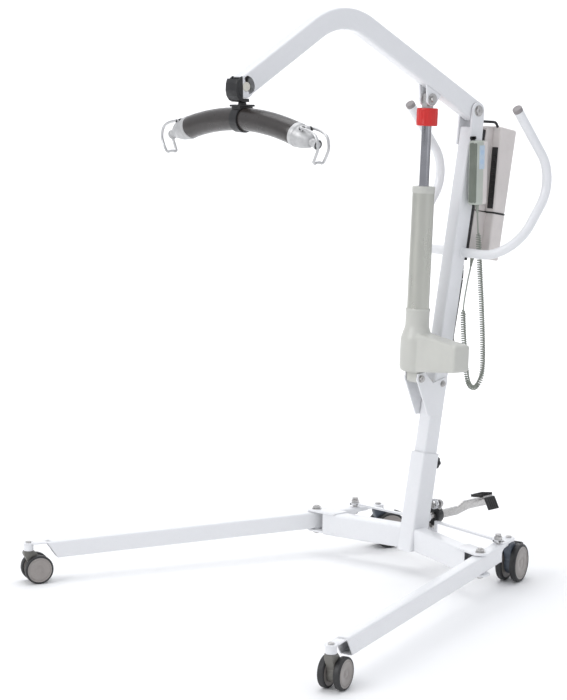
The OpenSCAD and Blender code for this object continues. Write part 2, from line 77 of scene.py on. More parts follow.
def make_camera():
    data = bpy.data.cameras.new("camera")
    data.lens = CAMERA_LENS
    data.sensor_width = 36
    camera = bpy.data.objects.new("camera", data)
    scene.collection.objects.link(camera)
    turn, tip, roll = CAMERA_HEADING, CAMERA_PITCH, CAMERA_ROLL
    ahead = Vector((-math.sin(turn) * math.cos(tip), math.cos(turn) * math.cos(tip), -math.sin(tip)))
    right = ahead.cross(Vector((0, 0, 1))).normalized()
    up = right.cross(ahead)
    across = math.cos(roll) * right + math.sin(roll) * up
    above = -math.sin(roll) * right + math.cos(roll) * up
    camera.matrix_world = Matrix.Translation(CAMERA_AT) @ Matrix((across, above, -ahead)).transposed().to_4x4()
    scene.camera = camera


def area_light(name, at, aim, size, power, colour=(1, 1, 1)):
    data = bpy.data.lights.new(name, "AREA")
    data.size = size
    data.energy = power
    data.color = colour
    light = bpy.data.objects.new(name, data)
    scene.collection.objects.link(light)
    light.location = at
    light.rotation_mode = "QUATERNION"
    light.rotation_quaternion = (Vector(aim) - Vector(at)).to_track_quat("-Z", "Y")


def make_world(strength):
    world = bpy.data.worlds.new("studio")
    world.use_nodes = True
    world.node_tree.nodes["Background"].inputs["Color"].default_value = (0.93, 0.95, 1.0, 1)
    world.node_tree.nodes["Background"].inputs["Strength"].default_value = strength
    scene.world = world


# ---- materials ----
class Paint:
    """Node material under construction, with object-space noise for its variation."""

    def __init__(self, name, colour, rough, metal=0.0):
        self.material = bpy.data.materials.new(name)
        self.material.use_nodes = True
        self.tree = self.material.node_tree
        self.shader = self.tree.nodes["Principled BSDF"]
        self.shader.inputs["Metallic"].default_value = metal
        self.colour = colour
        self.rough = rough
        self.coords = self.node("ShaderNodeTexCoord").outputs["Object"]
        self.height = None

    def node(self, kind, **settings):
        made = self.tree.nodes.new(kind)
        for key, value in settings.items():
            setattr(made, key, value)
        return made

    def link(self, a, b):
        self.tree.links.new(a, b)

    def noise(self, scale, detail=3.0, stretch=None):
        made = self.node("ShaderNodeTexNoise")
        made.inputs["Scale"].default_value = scale
        made.inputs["Detail"].default_value = detail
        coords = self.coords
        if stretch:
            mapping = self.node("ShaderNodeMapping")
            mapping.inputs["Scale"].default_value = stretch
            self.link(coords, mapping.inputs["Vector"])
            coords = mapping.outputs["Vector"]
        self.link(coords, made.inputs["Vector"])
        return made.outputs["Fac"]

    def ranged(self, value, low, high, start=0.3, end=0.7):
        made = self.node("ShaderNodeMapRange")
        for key, number in (("From Min", start), ("From Max", end), ("To Min", low), ("To Max", high)):
            made.inputs[key].default_value = number
        self.link(value, made.inputs["Value"])
        return made.outputs["Result"]

    def mix(self, fac, a, b):
        made = self.node("ShaderNodeMix", data_type="RGBA")
        self.link(fac, made.inputs["Factor"])
        for key, value in (("A", a), ("B", b)):
            socket = [s for s in made.inputs if s.name == key and s.type == "RGBA"][0]
            if isinstance(value, tuple):
                socket.default_value = (*value, 1)
            else:
                self.link(value, socket)
        return [s for s in made.outputs if s.type == "RGBA"][0]

    def mottle(self, scale, amount, tint=(1, 1, 1), stretch=None):
        """Colour and roughness that drift slowly over the surface."""
        drift = self.ranged(self.noise(scale, 4, stretch), 0, 1)
        dark = tuple(c * (1 - amount) * t for c, t in zip(self.colour, tint))
        light = tuple(min(1.0, c * (1 + amount)) for c in self.colour)
        self.base = self.mix(drift, dark, light)
        self.link(self.base, self.shader.inputs["Base Color"])
        rough = self.ranged(self.noise(scale * 3.1, 3, stretch), self.rough * 0.85, min(1, self.rough * 1.18))
        self.link(rough, self.shader.inputs["Roughness"])
        return self

    def specks(self, scale, colour, share, strength=1.0):
        """Fine specks of another colour, such as dust or metal flakes."""
        fac = self.ranged(self.noise(scale, 2), 0, strength, 1 - share, 1 - share + 0.04)
        self.base = self.mix(fac, self.base, colour)
        self.link(self.base, self.shader.inputs["Base Color"])
        return self

    def worn(self, colour, strength=0.5):
        """Edges rubbed lighter where the surface turns sharply."""
        point = self.node("ShaderNodeNewGeometry").outputs["Pointiness"]
        fac = self.ranged(point, 0, strength, 0.53, 0.6)
        self.base = self.mix(fac, self.base, colour)
        self.link(self.base, self.shader.inputs["Base Color"])
        return self

    def grain(self, scale, strength, distance=0.0004, detail=2.0, stretch=None):
        self._bump(self.noise(scale, detail, stretch), strength, distance)
        return self

    def cells(self, scale, strength, distance=0.0004):
        made = self.node("ShaderNodeTexVoronoi")
        made.inputs["Scale"].default_value = scale
        self.link(self.coords, made.inputs["Vector"])
        self._bump(made.outputs["Distance"], strength, distance)
        return self

    def _bump(self, height, strength, distance):
        bump = self.node("ShaderNodeBump")
        bump.inputs["Strength"].default_value = strength
        bump.inputs["Distance"].default_value = distance
        self.link(height, bump.inputs["Height"])
        if self.height:
            self.link(self.height, bump.inputs["Normal"])
        self.height = bump.outputs["Normal"]
        self.link(self.height, self.shader.inputs["Normal"])

    def coat(self, weight, rough=0.05):
        self.shader.inputs["Coat Weight"].default_value = weight
        self.shader.inputs["Coat Roughness"].default_value = rough
        return self


def moulded(name, colour, rough, drift=0.05):
    """Injection-moulded plastic with a fine spark-eroded grain."""
    return Paint(name, colour, rough).mottle(22, drift).grain(1700, 0.16, 0.0002).grain(90, 0.05, 0.0008)


def make_materials():
    made = {
        "white_paint": Paint("white_paint", (0.78, 0.785, 0.80), 0.32).mottle(90, 0.008)
        .grain(420, 0.03, 0.0002).coat(0.35, 0.08),
        "black_plastic": moulded("black_plastic", (0.009, 0.009, 0.010), 0.33, 0.2).worn((0.06, 0.06, 0.06),
                                                                                         0.3),
        "grey_caps": moulded("grey_caps", (0.27, 0.25, 0.25), 0.42, 0.08),
        "warm_grey_plastic": moulded("warm_grey_plastic", (0.66, 0.62, 0.60), 0.42),
        "handset_grey": moulded("handset_grey", (0.46, 0.49, 0.44), 0.38),
        "button_blue": moulded("button_blue", (0.42, 0.55, 0.70), 0.33),
        "cord_grey": moulded("cord_grey", (0.30, 0.32, 0.28), 0.40, 0.1),
        "zinc": Paint("zinc", (0.52, 0.51, 0.50), 0.30, 1.0).mottle(160, 0.12).cells(700, 0.12, 0.0002)
        .grain(1500, 0.08, 0.0001),
        "pedal_rubber": Paint("pedal_rubber", (0.014, 0.014, 0.014), 0.55).mottle(40, 0.3)
        .specks(900, (0.10, 0.10, 0.095), 0.36, 0.5).grain(900, 0.3, 0.0003).worn((0.07, 0.07, 0.07), 0.5),
        "actuator_grey": moulded("actuator_grey", (0.54, 0.54, 0.50), 0.36, 0.03).coat(0.12, 0.2),
        "tube_grey": Paint("tube_grey", (0.52, 0.52, 0.47), 0.30, 0.8).mottle(14, 0.05, stretch=(1, 1, 0.2))
        .grain(500, 0.06, 0.0002, stretch=(1, 1, 0.1)).coat(0.3, 0.12),
        # painted reflection: chrome colour set darker than bright chrome to stand in for the darker surroundings
        # the rod reflects
        "chrome": Paint("chrome", (0.36, 0.36, 0.38), 0.13, 1.0).mottle(12, 0.10)
        .grain(900, 0.04, 0.0001, stretch=(0.1, 0.1, 3)),
        "red_plastic": moulded("red_plastic", (0.60, 0.018, 0.016), 0.34, 0.06),
        "ivory_plastic": moulded("ivory_plastic", (0.68, 0.66, 0.58), 0.40),
        "foam_cover": Paint("foam_cover", (0.030, 0.025, 0.023), 0.32).mottle(30, 0.14)
        .cells(520, 0.25, 0.0005).grain(60, 0.12, 0.002).grain(1500, 0.15, 0.0002).coat(0.3, 0.25),
        "cast_grey": Paint("cast_grey", (0.50, 0.50, 0.50), 0.42, 0.45).mottle(60, 0.14)
        .grain(350, 0.3, 0.0004).grain(1400, 0.12, 0.0001).worn((0.75, 0.75, 0.76), 0.5),
        "spring_steel": Paint("spring_steel", (0.58, 0.58, 0.58), 0.32, 0.8).mottle(120, 0.1)
        .grain(700, 0.1, 0.0001),
        "castor_grey": moulded("castor_grey", (0.15, 0.145, 0.13), 0.40, 0.1).worn((0.26, 0.25, 0.23), 0.3),
        "castor_blue_grey": moulded("castor_blue_grey", (0.075, 0.09, 0.115), 0.36, 0.1)
        .worn((0.16, 0.18, 0.2), 0.3),
        "tyre_black": Paint("tyre_black", (0.020, 0.020, 0.021), 0.48).mottle(35, 0.25)
        .specks(1100, (0.13, 0.125, 0.12), 0.34, 0.4).grain(1000, 0.25, 0.0002),
        "hub_grey": moulded("hub_grey", (0.30, 0.275, 0.26), 0.38, 0.08).worn((0.4, 0.38, 0.36), 0.3),
        # painted shade: near-black colour that stands in for the shade inside gaps between parts
        "dark_gap": Paint("dark_gap", (0.03, 0.03, 0.032), 0.6).mottle(50, 0.2).grain(800, 0.2),
        "handset_dark": moulded("handset_dark", (0.16, 0.18, 0.15), 0.36, 0.1),
        "blue_panel": moulded("blue_panel", (0.48, 0.58, 0.68), 0.3),
    }
    return {name: paint.material for name, paint in made.items()}


MATERIALS = make_materials()


def floor_material():
    paint = Paint("studio_floor", (0.93, 0.93, 0.93), 0.75)
    return paint.mottle(2.5, 0.008).grain(160, 0.05, 0.001).material


# ---- drawing tools ----
def block(bm, x, y, z, r=1.0, steps=3, at=HERE):
    """Rounded block between two values on each axis."""
    made = bmesh.ops.create_cube(bm, size=1)["verts"]
    middle = Vector([(a + b) / 2 for a, b in (x, y, z)])
    size = Vector([b - a for a, b in (x, y, z)])
    for v in made:
        v.co = at @ (middle + v.co * size)
    if r:
        edges = list({e for v in made for e in v.link_edges})
        bmesh.ops.bevel(bm, geom=edges, offset=r, segments=steps, affect="EDGES", profile=0.5,
                        clamp_overlap=True)


def prism(bm, outline, low, high, axis="X", r=0.0, steps=2, at=HERE):
    """Outline extruded along an axis: pairs are (y, z) for X, (x, z) for Y and (x, y) for Z."""
    order = {"X": lambda a, b, c: (c, a, b), "Y": lambda a, b, c: (a, c, b),
             "Z": lambda a, b, c: (a, b, c)}[axis]
    rings = [[bm.verts.new(at @ Vector(order(a, b, c))) for a, b in outline] for c in (low, high)]
    n = len(outline)
    faces = [bm.faces.new(rings[0]), bm.faces.new(rings[1])]
    for i in range(n):
        faces.append(bm.faces.new((rings[0][i], rings[0][(i + 1) % n], rings[1][(i + 1) % n], rings[1][i])))
    bmesh.ops.recalc_face_normals(bm, faces=faces)
    if r:
        edges = list({e for f in faces for e in f.edges})
        bmesh.ops.bevel(bm, geom=edges, offset=r, segments=steps, affect="EDGES", profile=0.5,
                        clamp_overlap=True)


def loft(bm, rings, closed=False):
    """Skin over rings of points, capped at both ends unless the rings close on themselves."""
    made = [[bm.verts.new(p) for p in ring] for ring in rings]
    n = len(made[0])
    pairs = list(zip(made, made[1:] + made[:1])) if closed else list(zip(made, made[1:]))
    for a, b in pairs:
        for i in range(n):
            bm.faces.new((a[i], a[(i + 1) % n], b[(i + 1) % n], b[i]))
    if not closed:
        bm.faces.new(made[0][::-1])
        bm.faces.new(made[-1])


def lathe(bm, profile, at=HERE, steps=56, ring=False):
    """Outline of (radius, height) pairs turned about the local Z axis; ring closes it round a bore."""
    rings = []
    for k in range(steps):
        a = 2 * math.pi * k / steps
        rings.append([at @ Vector((r * math.cos(a), r * math.sin(a), z)) for r, z in profile])
    if ring:
        loft(bm, rings, closed=True)
        return
    made = [[None if r < 1e-6 else bm.verts.new(p) for p, (r, z) in zip(points, profile)] for points in rings]
    poles = {j: bm.verts.new(at @ Vector((0, 0, z))) for j, (r, z) in enumerate(profile) if r < 1e-6}
    for k in range(steps):
        a, b = made[k], made[(k + 1) % steps]
        for j in range(len(profile) - 1):
            corners = [a[j] or poles[j], b[j] or poles[j], b[j + 1] or poles[j + 1], a[j + 1] or poles[j + 1]]
            bm.faces.new(list(dict.fromkeys(corners)))


def curve_points(points, per=8):
    """Smooth line through given points."""
    pts = [Vector(p) for p in points]
    line = []
    for i in range(len(pts) - 1):
        a, b, c, d = pts[max(i - 1, 0)], pts[i], pts[i + 1], pts[min(i + 2, len(pts) - 1)]
        for k in range(per):
            t = k / per
            line.append(0.5 * (2 * b + (c - a) * t + (2 * a - 5 * b + 4 * c - d) * t * t
                               + (3 * b - a - 3 * c + d) * t ** 3))
    return line + [pts[-1]]


def filleted(points, bend, steps=10):
    """Line through points with each inner corner turned on a radius."""
    pts = [Vector(p) for p in points]
    line = [pts[0]]
    for a, p, c in zip(pts, pts[1:], pts[2:]):
        u, v = (p - a).normalized(), (c - p).normalized()
        turn = u.angle(v)
        w = (v - u * u.dot(v)).normalized()
        middle = p - u * bend * math.tan(turn / 2) + w * bend
        for k in range(steps + 1):
            t = turn * k / steps
            line.append(middle - w * bend * math.cos(t) + u * bend * math.sin(t))
    return line + [pts[-1]]


def frames_along(line, first=Vector((1, 0.013, 0.007))):
    """Heading and two side directions at each point, carried on without twist."""
    frames = []
    side = first
    for i, p in enumerate(line):
        heading = (line[min(i + 1, len(line) - 1)] - line[max(i - 1, 0)]).normalized()
        side = (side - heading * side.dot(heading)).normalized()
        frames.append((p, heading, side, heading.cross(side)))
    return frames


def tube(bm, line, radius, sides=16, at=HERE, closed=False):
    """Round tube along a line; radius is a number or one per point."""
    radii = radius if isinstance(radius, (list, tuple)) else [radius] * len(line)
    rings = []
    for (p, _, a, b), r in zip(frames_along(line), radii):
        angles = [2 * math.pi * k / sides for k in range(sides)]
        rings.append([at @ (p + a * r * math.cos(t) + b * r * math.sin(t)) for t in angles])
    loft(bm, rings, closed)


def rounded_rect(w, h, r, steps=4):
    corners = [(w / 2 - r, h / 2 - r, 0), (r - w / 2, h / 2 - r, 90), (r - w / 2, r - h / 2, 180),
               (w / 2 - r, r - h / 2, 270)]
    turns = [(x, y, math.radians(a + 90 * k / steps)) for x, y, a in corners for k in range(steps + 1)]
    return [(x + r * math.cos(t), y + r * math.sin(t)) for x, y, t in turns]


def hollow_section(bm, stations, w, h, r, wall, at=HERE):
    """Rectangular tube with round corners: stations are (point, width direction, height direction)."""
    outer = rounded_rect(w, h, r)
    inner = rounded_rect(w - 2 * wall, h - 2 * wall, max(r - wall, 1))
    skins = [[[at @ (p + u * a + v * b) for a, b in shape] for p, u, v in stations] for shape in (outer, inner)]
    rings = skins[0] + skins[1][::-1]
    loft(bm, rings, closed=True)


def hexagon(bm, size, low, high, at=HERE):
    """Hexagon head with chamfered corners, along local Z."""
    prism(bm, [(size * math.cos(math.radians(60 * k)), size * math.sin(math.radians(60 * k))) for k in range(6)],
          low, high, "Z", r=min(0.9, (high - low) / 5), steps=2, at=at)


def bolt_head(bm, at, size, height, stem=None, washer=0.0):
    """Head at the local origin, standing along +Z, with its washer and the screw's end."""
    if washer:
        lathe(bm, [(0, 0), (washer, 0), (washer, 1.2), (washer - 0.5, 1.6), (0, 1.6)], at)
    hexagon(bm, size, 1.6 if washer else 0, height, at)
    if stem:
        lathe(bm, [(0, height - 1), (stem, height - 1), (stem, height + 1.5), (stem - 0.8, height + 2.2),
                   (0, height + 2.2)], at)


def piece(name, bm, body, look, replaces=(), at=HERE, smooth=36):
    """Turns the drawing into a Blender object that rides on its body."""
    bm.transform(at @ Matrix.Scale(MM, 4))
    bmesh.ops.recalc_face_normals(bm, faces=bm.faces)
    limit = math.radians(smooth)
    for face in bm.faces:
        face.smooth = True
    for edge in bm.edges:
        edge.smooth = len(edge.link_faces) == 2 and edge.calc_face_angle(0) < limit
    mesh = bpy.data.meshes.new(name)
    bm.to_mesh(mesh)
    bm.free()
    mesh.materials.append(MATERIALS[look])
    made = bpy.data.objects.new(name, mesh)
    scene.collection.objects.link(made)
    if body:
        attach(made, body)
    if replaces:
        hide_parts(*replaces)
    return made


# ---- places, from the frame ----
def spot(joint):
    return Vector(joints[joint]["pos_m"])


def axis_of(joint):
    return Vector(joints[joint]["axis"])


def leg_frame(side):
    wheel_axis = axis_of("roll_front_left_out")
    opening = math.atan2(wheel_axis.y, wheel_axis.x)
    at = spot("leg_spread")
    base = Matrix.Translation((at.x, at.y, 0)) @ Matrix.Rotation(opening, 4, "Z")
    return base if side > 0 else MIRROR @ base


def leaning(at, axis):
    return Matrix.Translation(at) @ Matrix.Rotation(-math.atan2(axis.y, axis.z), 4, "X")


LEAN = math.atan2(axis_of("battery_lift").y, axis_of("battery_lift").z)
MAST = leaning((0, 0.2755, 0.060), axis_of("battery_lift"))
ACTUATOR = leaning(spot("actuator_tilt"), axis_of("rod_extension"))
CAM = Matrix.Translation((0, 0, spot("pedal_rock").z)) @ Matrix.Rotation(math.radians(25), 4, "Y")


def span(node):
    """Lowest and highest value of a CAD node on each axis, in millimetres."""
    low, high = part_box(node)
    return [(a / MM, b / MM) for a, b in zip(low, high)]


def facing(at, direction):
    """Frame at a point in metres whose Z points along a direction."""
    return Matrix.Translation(at) @ Vector(direction).to_track_quat("Z", "Y").to_matrix().to_4x4()


def at_mm(x, y, z, direction=None):
    """The same at a point in millimetres, for shapes drawn inside one piece."""
    place = Matrix.Translation((x, y, z))
    return place @ Vector(direction).to_track_quat("Z", "Y").to_matrix().to_4x4() if direction else place


SIDES = {"left": 1, "right": -1}


# ---- hand cord ----
# Lead from the handset, coil that hangs in a loop, and lead back to the control box
CORD_ROUTE = [(42, 456, 971), (42, 462, 900), (42, 474, 780), (42, 484, 680), (42, 492, 560), (42, 486, 505),
              (42, 462, 482), (42, 436, 500), (42, 424, 560), (42, 414, 640), (42, 412, 700), (36, 430, 760),
              (14, 466, 800), (12, 474, 826)]
COIL_FIRST, COIL_LAST = 1, 10
WIRE_D = 4.0
COIL_D = 15.0
COIL_PITCH = 6.2


def cord_line():
    per = 60
    centre = curve_points(CORD_ROUTE, per)
    frames = frames_along(centre)
    walked = [0.0]
    for a, b in zip(centre, centre[1:]):
        walked.append(walked[-1] + (b - a).length)
    start, end = walked[COIL_FIRST * per], walked[COIL_LAST * per]
    radius = (COIL_D - WIRE_D) / 2
    line = []
    s, i = 0.0, 0
    while s < walked[-1]:
        while i < len(walked) - 2 and walked[i + 1] < s:
            i += 1
        t = (s - walked[i]) / (walked[i + 1] - walked[i])
        p = frames[i][0].lerp(frames[i + 1][0], t)
        a = frames[i][2].lerp(frames[i + 1][2], t)
        b = frames[i][3].lerp(frames[i + 1][3], t)
        swell = max(0.0, min(1.0, (s - start) / 14, (end - s) / 14))
        swell = radius * swell * swell * (3 - 2 * swell)
        turn = 2 * math.pi * (s - start) / COIL_PITCH
        line.append(p + a * swell * math.cos(turn) + b * swell * math.sin(turn))
        s += COIL_PITCH / 14 if swell else 3.0
    return line[:-1] + [centre[-1]]


def make_hand_cord():
    line = cord_line()
    bm = bmesh.new()
    tube(bm, line, WIRE_D / 2, 8)
    cord = piece("hand_cord_coil", bm, None, "cord_grey", replaces=["hand_cord"])
    for name, a, b, body in (("handset_sleeve", line[0], line[9], "handset"),
                             ("box_sleeve", line[-1], line[-9], "frame")):
        bm = bmesh.new()
        lathe(bm, [(0, 0), (5.2, 0), (5.2, 3), (4.6, 4), (4.3, 8), (3.6, 9), (4.1, 10), (3.3, 14), (3.0, 15),
                   (3.5, 16), (2.8, 21), (2.3, 22), (0, 22)])
        piece(name, bm, body, "cord_grey", at=facing(a * MM, b - a))
    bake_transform(cord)


# ---- painted steel ----
LEG_W, LEG_H, LEG_TOP = 32, 45, 118.5
FRONT_REACH, REAR_REACH, TIE_REACH = 816, 186, 116
SLOPE = Matrix.Rotation(math.radians(0.886), 4, "X")


def make_leg(name, side):
    bm = bmesh.new()
    middle = LEG_TOP - LEG_H / 2
    across, up, cut = Vector((1, 0, 0)), Vector((0, 0, 1)), Vector((0, -29 / 45, 1))
    hollow_section(bm, [(Vector((0, -754.5, middle)), across, cut), (Vector((0, -700, middle)), across, up),
                        (Vector((0, 106, middle)), across, up)], LEG_W, LEG_H, 5, 2.5, at=SLOPE)
    prism(bm, [(104, 74.2), (108, 74.2), (109, 98), (113, 103), (122, 107), (150, 108.5), (150, LEG_TOP - 0.1),
               (104, LEG_TOP - 0.1)], -LEG_W / 2 + 0.1, LEG_W / 2 - 0.1, r=1.2, at=SLOPE)
    block(bm, (-16, 16), (143, REAR_REACH), (112, LEG_TOP), r=1.2, at=SLOPE)
    block(bm, (-13, 13), (-FRONT_REACH, -755), (114.5, LEG_TOP), r=1.0, at=SLOPE)
    lathe(bm, [(6.6, 86), (12.2, 86), (13, 86.8), (13, 103), (15, 103.8), (15, 106.2), (14.2, 107), (6.6, 107)],
          at_mm(0, -FRONT_REACH, 0), ring=True)
    lathe(bm, [(6.6, 112.8), (15, 112.8), (16, 113.8), (16, 121), (15, 122), (6.6, 122)],
          at_mm(0, REAR_REACH, 0), ring=True)
    lathe(bm, [(8.6, 71.4), (14, 71.4), (14, 119.6), (8.6, 119.6)], ring=True)
    for y, r in ((-FRONT_REACH + 13, 1.6), (REAR_REACH - 16, 1.8)):
        bead = [Vector((x, y, LEG_TOP + (0.2 if y > 0 else -12.4))) for x in range(-12, 13, 2)]
        tube(bm, bead, [r + 0.25 * math.sin(3.1 * k) for k in range(len(bead))], 8)
    piece(name, bm, name, "white_paint", replaces=[name], at=leg_frame(side))


def make_crossmember():
    bm = bmesh.new()
    depth, up = Vector((0, 1, 0)), Vector((0, 0, 1))
    pivot_at = spot("leg_spread") / MM
    for s in (-1, 1):
        hollow_section(bm, [(Vector((s * 262, 219, 92)), depth, up), (Vector((s * 23, 281, 92)), depth, up)],
                       46, 60, 6, 3)
        for z in (66, 120):
            arc = [(pivot_at.x + 25 * math.cos(math.radians(t)), pivot_at.y + 25 * math.sin(math.radians(t)))
                   for t in range(-85, 86, 10)]
            outline = [(225, 203)] + arc + [(225, 255)]
            prism(bm, [(s * x, y) for x, y in outline], z, z + 5, "Z", r=1.0)
        bead = [Vector((s * x, 196 + (262 - x) * 54 / 262 - 0.5, 121.5)) for x in range(228, 261, 3)]
        tube(bm, bead, [1.8 + 0.3 * math.sin(2.3 * k) for k in range(len(bead))], 8)
    piece("crossmember_tube", bm, "frame", "white_paint", replaces=["crossmember"])


def make_mast():
    bm = bmesh.new()
    across, back = Vector((1, 0, 0)), Vector((0, 1, 0))
    level = Vector((0, 1, math.tan(LEAN)))
    hollow_section(bm, [(Vector((0, -1.5, 2)), across, level), (Vector((0, -1.5, 262)), across, back)],
                   50, 61, 6, 4.4)
    piece("mast_socket_tube", bm, "frame", "white_paint", replaces=["mast_socket"], at=MAST)
    bm = bmesh.new()
    hollow_section(bm, [(Vector((0, 0, z)), across, back) for z in (30, 1116)], 40, 50, 5, 3)
    piece("mast_upright", bm, "frame", "white_paint", replaces=["mast_tube"], at=MAST)
    bm = bmesh.new()
    block(bm, (-19.6, 19.6), (-24.6, 24), (1096, 1128), r=2.5)
    piece("mast_top_block", bm, "frame", "white_paint", at=MAST)
    bm = bmesh.new()
    cam_z = spot("pedal_rock").z / MM
    lathe(bm, [(8.3, 0), (14, 0), (14, 23), (13, 24), (8.3, 24)], at_mm(0, 312, cam_z, (0, 1, 0)), ring=True)
    piece("cam_bearing", bm, "frame", "white_paint")


BOOM_W, BOOM_H, BEND_R = 36, 54, 176
RISE, FALL = math.radians(28.5), math.radians(30.3)


def make_boom():
    pivot_at, hang = spot("boom_lift") / MM, spot("hanger_swing") / MM
    up_dir = Vector((0, -math.cos(RISE), math.sin(RISE)))
    down_dir = Vector((0, -math.cos(FALL), -math.sin(FALL)))
    span_y, span_z = hang.y - pivot_at.y, hang.z - pivot_at.z
    # Where the two straight arms would meet
    rear = (span_z * down_dir.y - span_y * down_dir.z) / (up_dir.z * down_dir.y - up_dir.y * down_dir.z)
    corner = pivot_at + up_dir * rear
    line = filleted([pivot_at, corner, hang], BEND_R, 28)
    across = Vector((1, 0, 0))
    stations = []
    for p, heading, _, _ in frames_along(line):
        stations.append((p, across, across.cross(heading).normalized()))
    bm = bmesh.new()
    hollow_section(bm, stations, BOOM_W, BOOM_H, 6, 2.5)
    half = BOOM_W / 2
    lathe(bm, [(0, -half), (22, -half), (25.5, -half + 1.2), (27, -half + 4), (27, half - 4),
               (25.5, half - 1.2),
               (22, half), (0, half)], at_mm(*pivot_at, (1, 0, 0)))
    for s in (-1, 1):
        lathe(bm, [(0, 0), (27, 0), (27, 1.6), (26, 2.5), (0, 2.5)],
              at_mm(s * (half - 2.5), hang.y, hang.z, (s, 0, 0)))
    piece("boom_tube", bm, "boom", "white_paint", replaces=["boom"])
    bm = bmesh.new()
    for s in (-1, 1):
        lathe(bm, [(0, 0), (11, 0), (11, 1), (9.6, 2.1), (8.4, 2.4), (7.6, 1.7), (0, 1.9)],
              at_mm(s * half, hang.y, hang.z, (s, 0, 0)))
    piece("boom_end_caps", bm, "boom", "ivory_plastic", replaces=["boom_plugs"])
    bm = bmesh.new()
    face = [(hang.y + 28 * math.cos(math.radians(t)), hang.z + 28 * math.sin(math.radians(t)))
            for t in range(116, 250, 6)]
    for s in (-1, 1):
        low, high = sorted((s * 13.8, s * (half + 1.3)))
        prism(bm, face, low, high, r=0.9)
    piece("boom_end_hood", bm, "boom", "black_plastic")


GRIP_X, GRIP_R, GRIP_BEND = 191, 12.5, 105


def make_handles():
    bm, caps = bmesh.new(), bmesh.new()
    for s in (-1, 1):
        route = [(s * 20, 431, 845), (s * GRIP_X, 431, 845), (s * GRIP_X, 590, 1043), (s * GRIP_X, 440, 1222)]
        line = filleted(route, GRIP_BEND, 18)
        tube(bm, line, GRIP_R, 28)
        end, before = Vector(route[3]), Vector(route[2])
        cap = at_mm(*end, tuple(end - before))
        lathe(caps, [(0, -1), (12.8, -1), (12.9, 0), (12.9, 8), (12.2, 9.4), (10.4, 10), (9.6, 9.2), (0, 9)],
              cap)
        weld = at_mm(s * 20.5, 431, 845, (s, 0, 0))
        lathe(bm, [(GRIP_R - 1, 0), (GRIP_R + 2.6, 0), (GRIP_R + 1.8, 1.8), (GRIP_R - 0.2, 3.4)], weld,
              ring=True)
    piece("push_handle_tubes", bm, "frame", "white_paint", replaces=["push_handle"])
    piece("push_handle_ends", caps, "frame", "grey_caps", replaces=["handle_caps"])


# ---- hook bar ----
BAR_R, BAR_TURN, COVER_R = 690, math.asin(196 / 690), 28


def bar_frame(side):
    """Frame at the end of the cover: X runs on out of the bar, Z is square to it."""
    at = spot("bar_swivel")
    top = span("bar_cover")[2][1] - COVER_R
    base = (Matrix.Translation((at.x, at.y, (top - BAR_R) * MM)) @ Matrix.Rotation(BAR_TURN, 4, "Y")
            @ Matrix.Translation((0, 0, BAR_R * MM)))
    return base if side > 0 else MIRROR @ base


def make_bar_cover():
    at = spot("bar_swivel") / MM
    top = span("bar_cover")[2][1] - COVER_R
    steps = 64
    line, radii = [], []
    for k in range(steps + 1):
        t = -1 + 2 * k / steps
        a = BAR_TURN * t
        line.append(Vector((BAR_R * math.sin(a), at.y, top - BAR_R + BAR_R * math.cos(a))))
        edge = (1 - abs(t)) * steps / 2
        radii.append(COVER_R - (0 if edge > 2.5 else 3.2 * (1 - edge / 2.5) ** 2) - 0.35 * (1 - t * t))
    bm = bmesh.new()
    tube(bm, line, radii, 48)
    cover = piece("bar_foam_cover", bm, "hook_bar", "foam_cover", replaces=["bar_cover"], smooth=50)
    bm = bmesh.new()
    lathe(bm, [(28.3, -13), (31, -13), (32, -12), (32, 12), (31, 13), (28.3, 13)],
          at_mm(at.x, at.y, top, (1, 0, 0)), ring=True)
    block(bm, (-19, 19), (at.y - 24, at.y + 24), (1243, 1248), r=1.6)
    block(bm, (-16, 16), (at.y - 21, at.y + 21), (1236, 1245), r=3)
    lathe(bm, [(0, 1247), (10, 1247), (10, 1252.6), (9, 1253.6), (6, 1254), (6, 1261), (0, 1261)],
          at_mm(at.x, at.y, 0))
    piece("bar_saddle_clamp", bm, "hook_bar", "black_plastic", replaces=["bar_saddle"])


